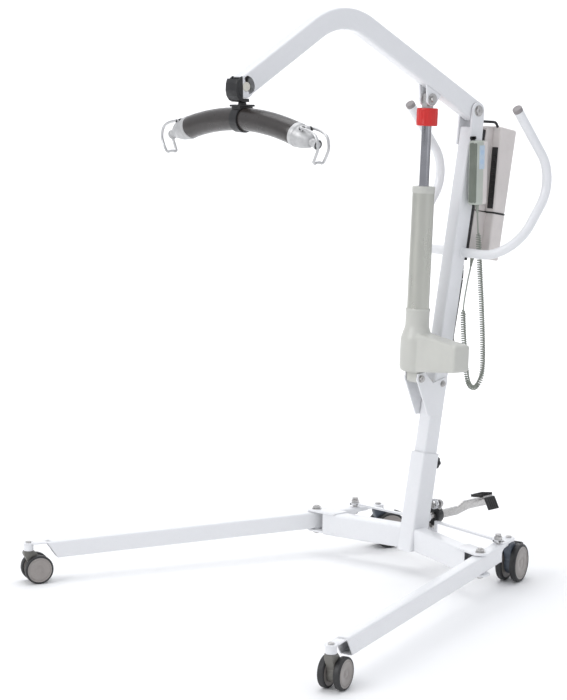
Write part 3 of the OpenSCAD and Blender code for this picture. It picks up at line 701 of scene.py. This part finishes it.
def make_bar_end(name, side):
    frame_here = bar_frame(side)
    bm = bmesh.new()
    out = (1, 0, 0)
    lathe(bm, [(0, -7), (27.4, -7), (28.8, -5.4), (28.8, 4), (28.2, 6), (27, 7.4), (26.6, 12), (25.6, 19),
               (23.6, 27),
               (20.6, 35), (17.6, 42), (15.2, 47), (13, 49.4), (10, 50.2), (9.6, 52), (9.6, 62), (10.2, 64),
               (12, 65.4), (12, 70.6), (10.6, 72), (0, 72)], at_mm(0, 0, 0, out), steps=48)
    prism(bm, [(10, 6), (36, 6), (30, 27), (26, 29.5), (18, 29.5), (13, 27)], -7, 7, "Y", r=2.2)
    piece("bar_casting_" + name, bm, "hook_bar", "cast_grey", replaces=["bar_castings"], at=frame_here)
    bm = bmesh.new()
    lathe(bm, [(0, -20), (2.5, -20), (2.5, 20), (0, 20)], at_mm(22, 0, 22, (0, 1, 0)), steps=20)
    for s in (-1, 1):
        coil = [Vector((22 + 4.2 * math.cos(t), s * (7.4 + 0.22 * k), 22 + 4.2 * math.sin(t)))
                for k, t in enumerate([2 * math.pi * i / 12 for i in range(37)])]
        tube(bm, coil, 2.0, 8)
    lathe(bm, [(0, 70), (11.2, 70), (11.4, 71), (11, 72.3), (8, 72.6), (7.4, 72), (0, 71.8)],
          at_mm(0, 0, 0, out),
          steps=40)
    piece("bail_spring_" + name, bm, "hook_bar", "black_plastic", at=frame_here)
    bm = bmesh.new()
    leg = [(22, 24), (54, 27), (77, 21), (90, 0), (88, -22)]
    half_gap = 17
    for s in (-1, 1):
        eye = [Vector((22 + 4.3 * math.cos(t), s * half_gap, 22 + 4.3 * math.sin(t)))
               for t in [2 * math.pi * i / 20 for i in range(20)]]
        tube(bm, eye, 2.2, 10, closed=True)
    bend = 9
    path = [Vector((x, half_gap, z)) for x, z in curve_points_2d(leg, 8)]
    path += [Vector((84.5, half_gap - bend * (1 - math.cos(t)), -34 - 6 * math.sin(t))) for t in (0.5, 0.9,
                                                                                                  1.3)]
    path += [Vector((83, y, -38)) for y in (5, 0, -5)]
    path += [Vector((p.x, -p.y, p.z)) for p in path[:-3][::-1]]
    tube(bm, path, 3.4, 14)
    piece("bail_wire_" + name, bm, "bail_" + name, "spring_steel",
          replaces=["hook_gate_" + name], at=frame_here)


def curve_points_2d(points, per):
    return [(p.x, p.z) for p in curve_points([(a, 0, b) for a, b in points], per)]


# ---- castors ----
def make_wheel(node, joint, out):
    low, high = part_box(node)
    r = (high.z - low.z) / 2 / MM
    half = 8.5
    at = facing((low + high) / 2, axis_of(joint) * out)
    rim = 0.86 * r
    bm = bmesh.new()
    shoulder = 4.2
    crown = [(r - shoulder + shoulder * math.sin(t), half - shoulder + shoulder * math.cos(t))
             for t in [math.pi / 2 * k / 6 for k in range(7)]]
    profile = [(rim, half - 1.2), (rim + 0.6, half)] + crown + [(r, 0)]
    profile += [(a, -b) for a, b in crown[::-1]] + [(rim + 0.6, -half), (rim, -half + 1.2)]
    lathe(bm, profile, ring=True, steps=72)
    piece(node + "_tyre", bm, node, "tyre_black", replaces=[node], at=at)
    bm = bmesh.new()
    lathe(bm, [(0, half - 1.0), (3.2, half - 1.0), (3.6, half - 1.6), (0.20 * r, half - 1.6),
               (0.24 * r, half - 2.4),
               (0.30 * r, half - 2.4), (0.34 * r, half - 1.5), (0.70 * r, half - 1.1), (0.73 * r, half - 2.0),
               (0.77 * r, half - 2.0), (0.79 * r, half - 0.9), (rim - 0.2, half - 0.7), (rim, half - 1.4),
               (rim, 1 - half), (0.7 * r, 1.4 - half), (0.3 * r, 1.2 - half), (0, 1.2 - half)], steps=72)
    piece(node + "_hub", bm, node, "hub_grey", replaces=[node], at=at)


def make_castor(node, side, rear):
    r, trail = (50, 28) if rear else (37.5, 22)
    top = 112.4 if rear else 85.6
    reach = REAR_REACH if rear else -FRONT_REACH
    bm = bmesh.new()
    hub = [(trail + 0.62 * r * math.cos(math.radians(t)), r + 0.62 * r * math.sin(math.radians(t)))
           for t in range(-200, 21, 12)]
    outline = hub + [(trail + 0.50 * r, r * 1.42), (18, top - 5), (13, top), (-13, top), (-15, top - 8),
                     (trail - 0.60 * r, r * 1.30)]
    prism(bm, outline, -10.5, 10.5, r=2.4, steps=3)
    lathe(bm, [(0, top - 2), (14, top - 2), (14.5, top - 1), (14.5, top - 0.2), (0, top - 0.2)], at_mm(0, 0, 0))
    tube(bm, [Vector((x, trail, r)) for x in (-24, 0, 24)], 4, 20)
    lathe(bm, [(0, top - 1), (5.9, top - 1), (5.9, top + 9), (0, top + 9)], at_mm(0, 0, 0), steps=24)
    if rear:
        for s in (-1, 1):
            prism(bm, [(20, 60), (20, 95), (50, 96), (56, 90), (52, 80)], min(s * 6.4, s * 10.5),
                  max(s * 6.4, s * 10.5), r=1.0)
    piece(node + "_fork", bm, node, "castor_blue_grey" if rear else "castor_grey", replaces=[node],
          at=leg_frame(side) @ Matrix.Translation((0, reach * MM, 0)))


# ---- bolts ----
def make_bolts():
    bm = bmesh.new()
    pivot_at = spot("leg_spread") / MM
    for s in (-1, 1):
        bolt_head(bm, at_mm(s * pivot_at.x, pivot_at.y, 125), 11, 8.5, 6, washer=13.5)
        bolt_head(bm, at_mm(s * pivot_at.x, pivot_at.y, 66, (0, 0, -1)), 10, 7, 6, washer=12.5)
        lathe(bm, [(0, 66), (7.9, 66), (7.9, 125), (0, 125)], at_mm(s * pivot_at.x, pivot_at.y, 0), steps=28)
    for at, size, far in ((spot("boom_lift") / MM, 13, 25), (spot("actuator_tilt") / MM, 8.6, 25),
                          (Vector((0, 356, 502)), 7, 25)):
        for s in (-1, 1):
            bolt_head(bm, at_mm(s * far, at.y, at.z, (s, 0, 0)), size, 6.2, 4.2, washer=size + 1.6)
        tube(bm, [Vector((x, at.y, at.z)) for x in (-25, 0, 25)], 5.8, 20)
    piece("frame_bolt_heads", bm, "frame", "zinc", replaces=["frame_bolts"])
    for name, side in SIDES.items():
        bm = bmesh.new()
        bolt_head(bm, at_mm(0, -FRONT_REACH, 107), 8.2, 3.4)
        bolt_head(bm, at_mm(0, REAR_REACH, 122), 8.2, 4.4)
        bolt_head(bm, at_mm(0, TIE_REACH, 141), 8.4, 6.0)
        bolt_head(bm, at_mm(0, TIE_REACH, 106, (0, 0, -1)), 8.2, 4.4)
        lathe(bm, [(0, 103), (6, 103), (6, 142), (0, 142)], at_mm(0, TIE_REACH, 0), steps=24)
        lathe(bm, [(6.4, 132.6), (9.8, 132.6), (10.4, 133.2), (10.4, 139.8), (9.8, 140.4), (6.4, 140.4)],
              at_mm(0, TIE_REACH, 0), steps=32, ring=True)
        piece("leg_bolt_heads_" + name, bm, "leg_" + name, "zinc", replaces=["leg_bolts_" + name],
              at=leg_frame(side))


# ---- actuator ----
def baked(obj, voxel, rounds):
    """Melts overlapping solids into one skin with soft edges."""
    remesh = obj.modifiers.new("melt", "REMESH")
    remesh.mode = "VOXEL"
    remesh.voxel_size = voxel * MM
    remesh.use_smooth_shade = True
    soften = obj.modifiers.new("soften", "SMOOTH")
    soften.factor = 0.5
    soften.iterations = rounds
    bpy.context.view_layer.update()
    look = obj.data.materials[0]
    mesh = bpy.data.meshes.new_from_object(obj.evaluated_get(bpy.context.evaluated_depsgraph_get()))
    obj.modifiers.clear()
    obj.data = mesh
    mesh.materials.clear()
    mesh.materials.append(look)
    for face in mesh.polygons:
        face.use_smooth = True


def make_actuator():
    bm = bmesh.new()
    prism(bm, [(0, 19), (24, 19), (165.5, 34.5), (165.5, 104), (60, 116), (20, 122), (0, 122)], -29.5, 29.5,
          "Y",
          r=7, steps=3)
    lathe(bm, [(0, 18), (34, 18), (39.5, 22), (42, 31), (42, 98), (40.8, 108), (37, 120), (33, 132),
               (31.6, 140),
               (31.4, 181), (0, 181)], steps=72)
    block(bm, (-19, 19), (-12.6, 12.6), (-4, 24), r=2)
    lathe(bm, [(0, -19), (12.6, -19), (12.6, 19), (0, 19)], at_mm(0, 0, 0, (1, 0, 0)))
    body = piece("actuator_body", bm, "actuator", "actuator_grey", replaces=["actuator_housing"], at=ACTUATOR)
    baked(body, 1.9, 9)
    bm = bmesh.new()
    lathe(bm, [(5.4, 24), (11, 24), (10.4, 32), (9.4, 34), (8, 35), (8, 42), (5.4, 42)],
          at_mm(60, 0, 60, (0, 1, 0)),
          ring=True, steps=32)
    piece("actuator_cable_gland", bm, "actuator", "black_plastic", at=ACTUATOR)
    bm = bmesh.new()
    lathe(bm, [(29.1, 176), (31.8, 176), (32.4, 178), (32.4, 182), (31.2, 184), (29.1, 184)], ring=True,
          steps=72)
    piece("actuator_tube_seal", bm, "actuator", "actuator_grey", at=ACTUATOR)
    bm = bmesh.new()
    lathe(bm, [(13.4, 484), (29.4, 484), (30, 486), (30, 499), (28.8, 501.4), (26, 502), (17, 502),
               (16.4, 500.6),
               (13.4, 500.6)], ring=True, steps=72)
    piece("actuator_tube_end", bm, "actuator", "actuator_grey", replaces=["actuator_tube_cap"], at=ACTUATOR)
    bm = bmesh.new()
    lathe(bm, [(15.3, 657), (25, 657), (27, 658.2), (27.5, 660), (27.5, 663), (27.5, 666), (27.5, 680),
               (27.5, 694),
               (27.5, 697), (27.5, 700), (26.6, 702.2), (24, 703), (17, 703), (16.2, 701.6), (15.3, 701.6)],
          ring=True, steps=144)
    for v in bm.verts:
        if math.hypot(v.co.x, v.co.y) > 27.2 and 665 < v.co.z < 695:
            flute = 0.5 - 0.5 * math.cos(18 * math.atan2(v.co.y, v.co.x))
            v.co.x *= 1 - 0.045 * flute
            v.co.y *= 1 - 0.045 * flute
    piece("release_collar_grip", bm, "collar", "red_plastic", replaces=["release_collar"], at=ACTUATOR,
          smooth=50)


def make_rod_and_hanger():
    bm = bmesh.new()
    lathe(bm, [(0, 335), (13, 335), (13, 690), (0, 690)], steps=64)
    piece("piston_shaft", bm, "rod", "chrome", replaces=["piston_rod"], at=ACTUATOR)
    hang = spot("hanger_swing") / MM
    outer = [(-28, 19.5), (-32, 8), (-33, -8), (-30, -22), (-22, -32), (-14, -36), (9, -36)]
    inner = [(28.5 * math.cos(math.radians(t)), 28.5 * math.sin(math.radians(t))) for t in range(-75, -216,
                                                                                                 -10)]
    bm = bmesh.new()
    prism(bm, [(hang.y + y, hang.z + z) for y, z in outer + inner], -20, 20, r=1.2)
    lathe(bm, [(0, -13), (22, -13), (23, -12), (23, 12), (22, 13), (0, 13)], at_mm(*hang, (1, 0, 0)), steps=48)
    prism(bm, [(hang.y + y, hang.z + z) for y, z in ((-5, -20), (-20, -5), (-30, -10), (-22, -32), (-10, -30))],
          -13, 13, r=1.0)
    tube(bm, [Vector((x, hang.y, hang.z)) for x in (-17.6, 0, 17.6)], 5.7, 24)
    piece("hanger_head", bm, "hanger", "black_plastic", replaces=["hanger_yoke"])


# ---- controls ----
def make_controls():
    bm = bmesh.new()
    prism(bm, [(80, 791), (123, 791), (123, 914.7), (77, 914.7)], -50, 50, r=5, steps=4)
    block(bm, (-21.8, 21.8), (33.4, 82), (791.4, 914.6), r=2.5)
    for x in (-36, -18, 0, 18, 36):
        block(bm, (x - 6, x + 6), (121.8, 123.0), (802, 804.4), r=0.5, steps=2)
    piece("control_box_shell", bm, "frame", "warm_grey_plastic", replaces=["control_box"], at=MAST)
    bm = bmesh.new()
    block(bm, (-49.2, 49.2), (78.5, 122.2), (913, 918), r=1)
    block(bm, (-20, 20), (24.9, 33.3), (781, 1129), r=1.5)
    piece("carrier_and_seal", bm, "frame", "black_plastic", replaces=["box_carrier"], at=MAST)
    bm = bmesh.new()
    prism(bm, [(77, 916.8), (123, 916.8), (123, 1141), (58, 1143)], -50, 50, r=6, steps=4)
    block(bm, (-21.8, 21.8), (33.6, 74), (917, 1137.6), r=2.5)
    for s in (-1, 1):
        for z in (960, 970, 980):
            block(bm, (s * 49.4 - 0.55, s * 49.4 + 0.55), (88, 114), (z, z + 3.2), r=0.5, steps=2)
        block(bm, (s * 30 - 11, s * 30 + 11), (60, 84), (1139.5, 1143), r=1.2)
    piece("battery_shell", bm, "battery_pack", "warm_grey_plastic", replaces=["battery"], at=MAST)
    bm = bmesh.new()
    tube(bm, filleted([(-35, 62, 1140), (-35, 50, 1152.5), (35, 50, 1152.5), (35, 62, 1140)], 6, 6), 3.6, 16)
    block(bm, (-30, 30), (45, 55), (1149.4, 1156), r=2.4)
    block(bm, (-24, 24), (86, 118), (1139, 1142.6), r=1.4)
    for s in (-1, 1):
        low, high = sorted((s * 25, s * 45))
        prism(bm, [(75, 926), (78.6, 926), (65.2, 1088), (61.4, 1088)], low, high, r=0.8, steps=2)
        for k in range(9):
            z = 936 + 16 * k
            front = 77 - 19 * (z - 916.8) / 226.2
            block(bm, sorted((s * 27, s * 43)), (front - 3.4, front), (z, z + 4), r=0.8, steps=2)
    piece("battery_carry_grip", bm, "battery_pack", "black_plastic", replaces=["battery_handle"], at=MAST)
    (x0, x1), (y0, y1), (z0, z1) = span("handset")
    bm = bmesh.new()
    block(bm, (x0, x0 + 13.6), (y0, y1), (z0, z1), r=5.5, steps=4)
    block(bm, (x0 + 8, x1 - 8), (y0 + 1, y1 - 1), (z0 + 1, z1 - 1), r=3, steps=3)
    block(bm, (x0 + 14.2, x1), (y0, y1), (z0, z1), r=6.5, steps=4)
    piece("handset_shell", bm, "handset", "handset_grey", replaces=["handset"])
    bm = bmesh.new()
    middle = sum(span("handset_button_up")[1]) / 2
    block(bm, (x1 - 2, x1 + 0.9), (middle - 10, middle + 10), (z1 - 74, z1 - 12), r=0.9, steps=3)
    piece("handset_key_panel", bm, "handset", "blue_panel")
    bm = bmesh.new()
    block(bm, (x1 - 7, x1 + 0.5), (y0 + 27, y1 + 0.3), (z0 + 2, z1 - 2), r=2.6, steps=4)
    piece("handset_key_face", bm, "handset", "warm_grey_plastic")
    bm = bmesh.new()
    block(bm, (x0 + 2, x1 - 0.6), (y0 - 0.4, y0 + 12), (z0 + 4, z1 - 4), r=4.5, steps=4)
    piece("handset_front_band", bm, "handset", "handset_dark")
    for name, node in (("button_up", "handset_button_up"), ("button_down", "handset_button_down")):
        (_, b1), (c0, c1), (d0, d1) = span(node)
        bm = bmesh.new()
        lathe(bm, [(0, 0), (7, 0), (7, 2.6), (6.2, 3.5), (4, 3.9), (0, 4)],
              at_mm(b1 - 4, (c0 + c1) / 2, (d0 + d1) / 2, (1, 0, 0)), steps=36)
        piece(name + "_cap", bm, name, "button_blue", replaces=[node])
    (x0, x1), (y0, y1), (z0, z1) = span("handset_hook")
    bm = bmesh.new()
    block(bm, (x0, x1), (y0 + 4, y1 - 4), (z0, z1), r=1)
    block(bm, (x0, x1), (y0, y1), (z1 - 8, z1), r=1.2)
    piece("handset_hook_clip", bm, "frame", "black_plastic", replaces=["handset_hook"])
    bm = bmesh.new()
    tube(bm, filleted([(-10, 460, 768), (-10, 428, 610), (36, 402, 588), (60, 340, 581.6), (60, 319, 581.6)],
                      14, 8),
         3, 16)
    lathe(bm, [(0, 829), (5, 829), (5, 822), (4.4, 820), (5, 818), (4.3, 810), (3.7, 808), (4.4, 806),
               (3.8, 796),
               (3.2, 794), (3.9, 792), (3.4, 772), (0, 768)], at_mm(-10, 460, 0), steps=32)
    piece("actuator_lead", bm, "frame", "black_plastic", replaces=["actuator_cable"])


def pedal_wing(side):
    """Frame of one sloping half of the foot plate."""
    slope = Matrix.Translation((0, 0, 26)) @ Matrix.Rotation(math.radians(34.5), 4, "Y")
    return Matrix.Diagonal((side, 1, 1, 1)) @ slope


def make_knob_and_pads():
    bm = bmesh.new()
    knob = at_mm(0, 0, 236, (0, 1, 0))
    lathe(bm, [(0, 25.5), (4.8, 25.5), (4.8, 30), (9, 30), (9, 37.5), (15.6, 38), (17, 39.4), (17, 47.4),
               (15.4, 49.6),
               (10, 50), (0, 49.2)], knob, steps=120)
    for v in bm.verts:
        r = math.hypot(v.co.x, v.co.z - 236)
        if r > 13 and v.co.y > 37:
            lobe = 0.5 - 0.5 * math.cos(6 * math.atan2(v.co.z - 236, v.co.x))
            v.co.x *= 1 - 0.16 * lobe
            v.co.z = 236 + (v.co.z - 236) * (1 - 0.16 * lobe)
    piece("mast_lock_knob", bm, "lock_knob", "black_plastic", replaces=["mast_knob"], at=MAST, smooth=50)
    bm = bmesh.new()
    for s in (1, -1):
        block(bm, (3, 40), (538, 580), (2.6, 6.6), r=1.8, at=pedal_wing(s))
        for k in range(5):
            y = 542 + 7.6 * k
            block(bm, (6, 37), (y, y + 4), (5.6, 8), r=0.9, steps=2, at=pedal_wing(s))
    piece("pedal_tread_pads", bm, "pedal", "pedal_rubber", replaces=["pedal_pads"], at=CAM)


def make_pedal_hub():
    bm = bmesh.new()
    prism(bm, [(379, -14), (455, -14), (492, -2), (577, -2), (577, 26), (462, 26), (446, 12), (379, 12)], -4, 4,
          r=1.2)
    for s in (1, -1):
        block(bm, (0, 38), (541, 577), (0, 3), r=1.0, at=pedal_wing(s))
    piece("pedal_lever", bm, "pedal", "zinc", replaces=["pedal_arm"], at=CAM)
    bm = bmesh.new()
    lathe(bm, [(0, 356), (19, 356), (21, 358), (21, 375), (19, 378), (13, 379), (0, 379)],
          at_mm(0, 0, 0, (0, 1, 0)),
          steps=48)
    block(bm, (-13, 13), (355.8, 366), (-27, 27), r=3)
    piece("pedal_hub", bm, "pedal", "black_plastic", at=CAM)
    bm = bmesh.new()
    bolt_head(bm, at_mm(0, 379, 13, (0, 1, 0)), 5.4, 4, 3, washer=6.6)
    piece("pedal_hub_bolt", bm, "pedal", "zinc", at=CAM)


# ---- CAD nodes that keep their own shape ----
def soften_edges(node, width):
    """Rounds the sharp edges of a plain CAD node."""
    obj = nodes[node]
    weld = obj.modifiers.new("weld", "WELD")
    weld.merge_threshold = 0.00002
    flat = obj.modifiers.new("flat", "DECIMATE")
    flat.decimate_type = "DISSOLVE"
    flat.angle_limit = math.radians(1)
    edge = obj.modifiers.new("edge", "BEVEL")
    edge.width = width * MM
    edge.segments = 2
    edge.limit_method = "ANGLE"
    edge.angle_limit = math.radians(40)
    edge.use_clamp_overlap = True
    edge.harden_normals = True


def make_floor():
    bm = bmesh.new()
    back, reach, bend, half_width, height = 7.0, 9.0, 2.2, 11, 7.0
    profile = [(-reach, 0.0), (back, 0.0)]
    profile += [(back + bend * math.sin(t), bend * (1 - math.cos(t)))
                for t in [math.pi / 2 * k / 16 for k in range(1, 17)]]
    profile += [(back + bend, height)]
    rows = [[bm.verts.new((x, y, z)) for x in (-half_width, half_width)] for y, z in profile]
    for a, b in zip(rows, rows[1:]):
        bm.faces.new((a[0], a[1], b[1], b[0]))
    for face in bm.faces:
        face.smooth = True
    bmesh.ops.recalc_face_normals(bm, faces=bm.faces)
    mesh = bpy.data.meshes.new("studio_floor")
    bm.to_mesh(mesh)
    bm.free()
    mesh.materials.append(floor_material())
    floor = bpy.data.objects.new("studio_floor", mesh)
    floor.rotation_euler = (0, 0, CAMERA_HEADING)
    scene.collection.objects.link(floor)


make_camera()
make_hand_cord()
for node, obj in nodes.items():
    for material_slot in obj.material_slots:
        material_slot.material = MATERIALS[slot_of[node]]
make_crossmember()
make_mast()
make_boom()
make_handles()
make_bar_cover()
for name, side in SIDES.items():
    make_leg("leg_" + name, side)
    make_bar_end(name, side)
    for end in ("front", "rear"):
        make_castor(f"castor_{end}_{name}", side, end == "rear")
        for place, out in (("out", 1), ("in", -1)):
            make_wheel(f"wheel_{end}_{name}_{place}", f"roll_{end}_{name}_{place}", out)
make_bolts()
make_actuator()
make_rod_and_hanger()
make_controls()
make_knob_and_pads()
make_pedal_hub()
for node, width in (("boom_clevis", 1.2), ("actuator_bracket", 1.2), ("boom_lug", 1.2), ("rod_end", 1.5),
                    ("pedal_cam", 0.8), ("tie_rod_left", 1.0), ("tie_rod_right", 1.0), ("brake_left", 0.8),
                    ("brake_right", 0.8)):
    soften_edges(node, width)
make_floor()
WORLD_STRENGTH = 0.72
make_world(WORLD_STRENGTH)
area_light("key", (-1.0, -6.0, 4.0), (0, 0, 0.8), 3.5, 150)
area_light("fill", (5.5, 1.0, 2.5), (0, 0, 0.7), 3.5, 18, (0.94, 0.97, 1.0))
area_light("backdrop", (-2.2, 2.0, 5.5), (-6.6, 6.0, 2.2), 5.0, 300)
area_light("top", (-1.0, 0.5, 6.0), (0, 0, 0), 5.0, 130)
scene.view_settings.view_transform = "Standard"
